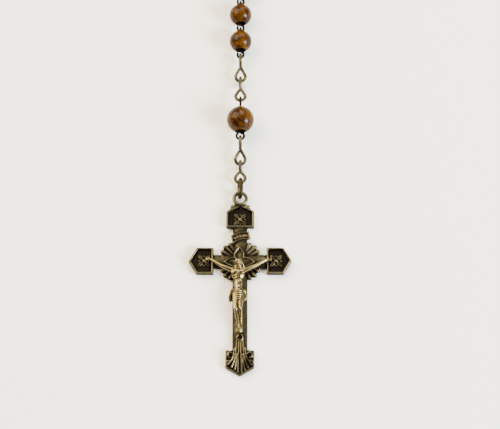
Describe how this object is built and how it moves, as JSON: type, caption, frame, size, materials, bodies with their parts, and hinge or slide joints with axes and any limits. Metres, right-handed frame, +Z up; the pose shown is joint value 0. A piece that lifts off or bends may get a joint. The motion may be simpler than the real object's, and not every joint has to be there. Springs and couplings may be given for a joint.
{
  "type": "rosary",
  "caption": "Rosary of wooden beads on bent wire pins and links, with a cast crucifix and a centre medal, laid flat.",
  "frame": {"origin": "on the surface that it lies on, under the middle of its outline", "axes": "+Z up from that surface; +Y along the rosary from the crucifix to the top of the loop; +X to the right of the crucifix as seen from above"},
  "size_m": [0.1664, 0.3924, 0.0072],
  "materials": {
    "wood": "polished",
    "pin_wire": "blackened, worn bright",
    "link_wire": "pale tarnished",
    "ring_wire": "tarnished",
    "dark_bronze": "antique, dark recesses",
    "worn_bronze": "antique, worn bright"
  },
  "bodies": {
    "medal": {"centre_medal": "dark_bronze"},
    "link_8": {"link_8": "link_wire"},
    "link_7": {"link_7": "link_wire"},
    "our_father_2_pin": {"our_father_2_pin": "pin_wire"},
    "our_father_2_bead": {"our_father_2_bead": "wood"},
    "link_6": {"link_6": "link_wire"},
    "link_5": {"link_5": "link_wire"},
    "hail_mary_3_pin": {"hail_mary_3_pin": "pin_wire"},
    "hail_mary_3_bead": {"hail_mary_3_bead": "wood"},
    "hail_mary_2_pin": {"hail_mary_2_pin": "pin_wire"},
    "hail_mary_2_bead": {"hail_mary_2_bead": "wood"},
    "hail_mary_1_pin": {"hail_mary_1_pin": "pin_wire"},
    "hail_mary_1_bead": {"hail_mary_1_bead": "wood"},
    "link_4": {"link_4": "link_wire"},
    "link_3": {"link_3": "link_wire"},
    "our_father_1_pin": {"our_father_1_pin": "pin_wire"},
    "our_father_1_bead": {"our_father_1_bead": "wood"},
    "link_2": {"link_2": "link_wire"},
    "link_1": {"link_1": "link_wire"},
    "jump_ring": {"jump_ring": "ring_wire"},
    "crucifix": {"crucifix_cross": "dark_bronze", "crucifix_corpus": "worn_bronze"},
    "left_links_1": {"left_links_1": "link_wire"},
    "left_decade_1a": {"left_decade_1a_beads": "wood", "left_decade_1a_pins": "pin_wire"},
    "left_decade_1b": {"left_decade_1b_beads": "wood", "left_decade_1b_pins": "pin_wire"},
    "left_links_2": {"left_links_2": "link_wire"},
    "left_our_father_1_pin": {"left_our_father_1_pin": "pin_wire"},
    "left_our_father_1_bead": {"left_our_father_1_bead": "wood"},
    "left_links_3": {"left_links_3": "link_wire"},
    "left_decade_2a": {"left_decade_2a_beads": "wood", "left_decade_2a_pins": "pin_wire"},
    "left_decade_2b": {"left_decade_2b_beads": "wood", "left_decade_2b_pins": "pin_wire"},
    "left_links_4": {"left_links_4": "link_wire"},
    "left_our_father_2_pin": {"left_our_father_2_pin": "pin_wire"},
    "left_our_father_2_bead": {"left_our_father_2_bead": "wood"},
    "left_links_5": {"left_links_5": "link_wire"},
    "left_decade_3a": {"left_decade_3a_beads": "wood", "left_decade_3a_pins": "pin_wire"},
    "right_links_1": {"right_links_1": "link_wire"},
    "right_decade_1a": {"right_decade_1a_beads": "wood", "right_decade_1a_pins": "pin_wire"},
    "right_decade_1b": {"right_decade_1b_beads": "wood", "right_decade_1b_pins": "pin_wire"},
    "right_links_2": {"right_links_2": "link_wire"},
    "right_our_father_1_pin": {"right_our_father_1_pin": "pin_wire"},
    "right_our_father_1_bead": {"right_our_father_1_bead": "wood"},
    "right_links_3": {"right_links_3": "link_wire"},
    "right_decade_2a": {"right_decade_2a_beads": "wood", "right_decade_2a_pins": "pin_wire"},
    "right_decade_2b": {"right_decade_2b_beads": "wood", "right_decade_2b_pins": "pin_wire"},
    "right_links_4": {"right_links_4": "link_wire"},
    "right_our_father_2_pin": {"right_our_father_2_pin": "pin_wire"},
    "right_our_father_2_bead": {"right_our_father_2_bead": "wood"},
    "right_links_5": {"right_links_5": "link_wire"},
    "right_decade_3a": {"right_decade_3a_beads": "wood", "right_decade_3a_pins": "pin_wire"}
  },
  "joints": [
    {"name": "medal_to_link_8", "type": "hinge", "parent": "medal", "child": "link_8", "pos_m": [0, -0.04679, 0.00166], "axis": [0, 0.0162, 0.9999], "range_deg": [-50, 50]},
    {"name": "link_8_to_link_7", "type": "hinge", "parent": "link_8", "child": "link_7", "pos_m": [0, -0.05419, 0.00178], "axis": [-1, 0, 0], "range_deg": [-40, 40]},
    {"name": "link_7_to_our_father_2", "type": "hinge", "parent": "link_7", "child": "our_father_2_pin", "pos_m": [0, -0.05985, 0.0036], "axis": [0, 0, 1], "range_deg": [-50, 50]},
    {"name": "our_father_2_spin", "type": "hinge", "parent": "our_father_2_pin", "child": "our_father_2_bead", "pos_m": [0, -0.0662, 0.0036], "axis": [0, 1, 0], "continuous": true},
    {"name": "our_father_2_to_link_6", "type": "hinge", "parent": "our_father_2_pin", "child": "link_6", "pos_m": [0, -0.0711, 0.0036], "axis": [0, 0.2459, -0.9693], "range_deg": [-50, 50]},
    {"name": "link_6_to_link_5", "type": "hinge", "parent": "link_6", "child": "link_5", "pos_m": [0, -0.07827, 0.00178], "axis": [1, 0, 0], "range_deg": [-40, 40]},
    {"name": "link_5_to_hail_mary_3", "type": "hinge", "parent": "link_5", "child": "hail_mary_3_pin", "pos_m": [0, -0.08406, 0.003], "axis": [0, 0, -1], "range_deg": [-50, 50]},
    {"name": "hail_mary_3_spin", "type": "hinge", "parent": "hail_mary_3_pin", "child": "hail_mary_3_bead", "pos_m": [0, -0.08794, 0.003], "axis": [0, 1, 0], "continuous": true},
    {"name": "hail_mary_3_to_hail_mary_2", "type": "hinge", "parent": "hail_mary_3_pin", "child": "hail_mary_2_pin", "pos_m": [0, -0.09211, 0.003], "axis": [0, 0, 1], "range_deg": [-50, 50]},
    {"name": "hail_mary_2_spin", "type": "hinge", "parent": "hail_mary_2_pin", "child": "hail_mary_2_bead", "pos_m": [0, -0.09599, 0.003], "axis": [0, 1, 0], "continuous": true},
    {"name": "hail_mary_2_to_hail_mary_1", "type": "hinge", "parent": "hail_mary_2_pin", "child": "hail_mary_1_pin", "pos_m": [0, -0.10016, 0.003], "axis": [0, 0, -1], "range_deg": [-50, 50]},
    {"name": "hail_mary_1_spin", "type": "hinge", "parent": "hail_mary_1_pin", "child": "hail_mary_1_bead", "pos_m": [0, -0.10404, 0.003], "axis": [0, 1, 0], "continuous": true},
    {"name": "hail_mary_1_to_link_4", "type": "hinge", "parent": "hail_mary_1_pin", "child": "link_4", "pos_m": [0, -0.10818, 0.003], "axis": [0, -0.1649, 0.9863], "range_deg": [-50, 50]},
    {"name": "link_4_to_link_3", "type": "hinge", "parent": "link_4", "child": "link_3", "pos_m": [0, -0.11548, 0.00178], "axis": [-1, 0, 0], "range_deg": [-40, 40]},
    {"name": "link_3_to_our_father_1", "type": "hinge", "parent": "link_3", "child": "our_father_1_pin", "pos_m": [0, -0.12114, 0.0036], "axis": [0, 0, 1], "range_deg": [-50, 50]},
    {"name": "our_father_1_spin", "type": "hinge", "parent": "our_father_1_pin", "child": "our_father_1_bead", "pos_m": [0, -0.12749, 0.0036], "axis": [0, 1, 0], "continuous": true},
    {"name": "our_father_1_to_link_2", "type": "hinge", "parent": "our_father_1_pin", "child": "link_2", "pos_m": [0, -0.13239, 0.0036], "axis": [0, 0.2459, -0.9693], "range_deg": [-50, 50]},
    {"name": "link_2_to_link_1", "type": "hinge", "parent": "link_2", "child": "link_1", "pos_m": [0, -0.13957, 0.00178], "axis": [1, 0, 0], "range_deg": [-40, 40]},
    {"name": "link_1_to_jump_ring", "type": "hinge", "parent": "link_1", "child": "jump_ring", "pos_m": [0, -0.14494, 0.0021], "axis": [-1, 0, 0], "range_deg": [-40, 40]},
    {"name": "jump_ring_to_crucifix", "type": "hinge", "parent": "jump_ring", "child": "crucifix", "pos_m": [0, -0.14882, 0.0021], "axis": [0, 0, 1], "range_deg": [-50, 50]},
    {"name": "left_medal_to_links_1", "type": "hinge", "parent": "medal", "child": "left_links_1", "pos_m": [-0.00796, -0.02848, 0.00125], "axis": [-0.6947, -0.7193, 0], "range_deg": [-40, 40]},
    {"name": "left_links_1_to_decade_1a", "type": "hinge", "parent": "left_links_1", "child": "left_decade_1a", "pos_m": [-0.01676, -0.01946, 0.003], "axis": [-0.7228, -0.6911, 0], "range_deg": [-40, 40]},
    {"name": "left_decade_1a_to_decade_1b", "type": "hinge", "parent": "left_decade_1a", "child": "left_decade_1b", "pos_m": [-0.04174, 0.01202, 0.003], "axis": [0.8198, 0.5726, 0], "range_deg": [-40, 40]},
    {"name": "left_decade_1b_to_links_2", "type": "hinge", "parent": "left_decade_1b", "child": "left_links_2", "pos_m": [-0.06153, 0.04702, 0.003], "axis": [-0.8989, -0.4381, 0], "range_deg": [-40, 40]},
    {"name": "left_links_2_to_our_father_1", "type": "hinge", "parent": "left_links_2", "child": "left_our_father_1_pin", "pos_m": [-0.06671, 0.05889, 0.0036], "axis": [0.921, 0.3896, 0], "range_deg": [-40, 40]},
    {"name": "left_our_father_1_spin", "type": "hinge", "parent": "left_our_father_1_pin", "child": "left_our_father_1_bead", "pos_m": [-0.0687, 0.06413, 0.0036], "axis": [0.3577, -0.9338, 0], "continuous": true},
    {"name": "left_our_father_1_to_links_3", "type": "hinge", "parent": "left_our_father_1_pin", "child": "left_links_3", "pos_m": [-0.07072, 0.06941, 0.0036], "axis": [-0.9338, -0.3577, 0], "range_deg": [-40, 40]},
    {"name": "left_links_3_to_decade_2a", "type": "hinge", "parent": "left_links_3", "child": "left_decade_2a", "pos_m": [-0.07476, 0.08172, 0.003], "axis": [0.9534, 0.3017, 0], "range_deg": [-40, 40]},
    {"name": "left_decade_2a_to_decade_2b", "type": "hinge", "parent": "left_decade_2a", "child": "left_decade_2b", "pos_m": [-0.08001, 0.12129, 0.003], "axis": [-0.9989, 0.0476, 0], "range_deg": [-40, 40]},
    {"name": "left_decade_2b_to_links_4", "type": "hinge", "parent": "left_decade_2b", "child": "left_links_4", "pos_m": [-0.06626, 0.15867, 0.003], "axis": [0.8535, -0.5211, 0], "range_deg": [-40, 40]},
    {"name": "left_links_4_to_our_father_2", "type": "hinge", "parent": "left_links_4", "child": "left_our_father_2_pin", "pos_m": [-0.05809, 0.16871, 0.0036], "axis": [-0.7524, 0.6587, 0], "range_deg": [-40, 40]},
    {"name": "left_our_father_2_spin", "type": "hinge", "parent": "left_our_father_2_pin", "child": "left_our_father_2_bead", "pos_m": [-0.05393, 0.17246, 0.0036], "axis": [-0.7373, -0.6756, 0], "continuous": true},
    {"name": "left_our_father_2_to_links_5", "type": "hinge", "parent": "left_our_father_2_pin", "child": "left_links_5", "pos_m": [-0.04976, 0.17627, 0.0036], "axis": [0.6756, -0.7373, 0], "range_deg": [-40, 40]},
    {"name": "left_links_5_to_decade_3a", "type": "hinge", "parent": "left_links_5", "child": "left_decade_3a", "pos_m": [-0.03898, 0.18343, 0.003], "axis": [-0.5239, 0.8518, 0], "range_deg": [-40, 40]},
    {"name": "right_medal_to_links_1", "type": "hinge", "parent": "medal", "child": "right_links_1", "pos_m": [0.00796, -0.02848, 0.00125], "axis": [0.6947, -0.7193, 0], "range_deg": [-40, 40]},
    {"name": "right_links_1_to_decade_1a", "type": "hinge", "parent": "right_links_1", "child": "right_decade_1a", "pos_m": [0.01676, -0.01946, 0.003], "axis": [0.7228, -0.6911, 0], "range_deg": [-40, 40]},
    {"name": "right_decade_1a_to_decade_1b", "type": "hinge", "parent": "right_decade_1a", "child": "right_decade_1b", "pos_m": [0.04174, 0.01202, 0.003], "axis": [-0.8198, 0.5726, 0], "range_deg": [-40, 40]},
    {"name": "right_decade_1b_to_links_2", "type": "hinge", "parent": "right_decade_1b", "child": "right_links_2", "pos_m": [0.06153, 0.04702, 0.003], "axis": [0.8989, -0.4381, 0], "range_deg": [-40, 40]},
    {"name": "right_links_2_to_our_father_1", "type": "hinge", "parent": "right_links_2", "child": "right_our_father_1_pin", "pos_m": [0.06671, 0.05889, 0.0036], "axis": [-0.921, 0.3896, 0], "range_deg": [-40, 40]},
    {"name": "right_our_father_1_spin", "type": "hinge", "parent": "right_our_father_1_pin", "child": "right_our_father_1_bead", "pos_m": [0.0687, 0.06413, 0.0036], "axis": [-0.3577, -0.9338, 0], "continuous": true},
    {"name": "right_our_father_1_to_links_3", "type": "hinge", "parent": "right_our_father_1_pin", "child": "right_links_3", "pos_m": [0.07072, 0.06941, 0.0036], "axis": [0.9338, -0.3577, 0], "range_deg": [-40, 40]},
    {"name": "right_links_3_to_decade_2a", "type": "hinge", "parent": "right_links_3", "child": "right_decade_2a", "pos_m": [0.07476, 0.08172, 0.003], "axis": [-0.9534, 0.3017, 0], "range_deg": [-40, 40]},
    {"name": "right_decade_2a_to_decade_2b", "type": "hinge", "parent": "right_decade_2a", "child": "right_decade_2b", "pos_m": [0.08001, 0.12129, 0.003], "axis": [0.9989, 0.0476, 0], "range_deg": [-40, 40]},
    {"name": "right_decade_2b_to_links_4", "type": "hinge", "parent": "right_decade_2b", "child": "right_links_4", "pos_m": [0.06626, 0.15867, 0.003], "axis": [-0.8535, -0.5211, 0], "range_deg": [-40, 40]},
    {"name": "right_links_4_to_our_father_2", "type": "hinge", "parent": "right_links_4", "child": "right_our_father_2_pin", "pos_m": [0.05809, 0.16871, 0.0036], "axis": [0.7524, 0.6587, 0], "range_deg": [-40, 40]},
    {"name": "right_our_father_2_spin", "type": "hinge", "parent": "right_our_father_2_pin", "child": "right_our_father_2_bead", "pos_m": [0.05393, 0.17246, 0.0036], "axis": [0.7373, -0.6756, 0], "continuous": true},
    {"name": "right_our_father_2_to_links_5", "type": "hinge", "parent": "right_our_father_2_pin", "child": "right_links_5", "pos_m": [0.04976, 0.17627, 0.0036], "axis": [-0.6756, -0.7373, 0], "range_deg": [-40, 40]},
    {"name": "right_links_5_to_decade_3a", "type": "hinge", "parent": "right_links_5", "child": "right_decade_3a", "pos_m": [0.03898, 0.18343, 0.003], "axis": [0.5239, 0.8518, 0], "range_deg": [-40, 40]}
  ]
}
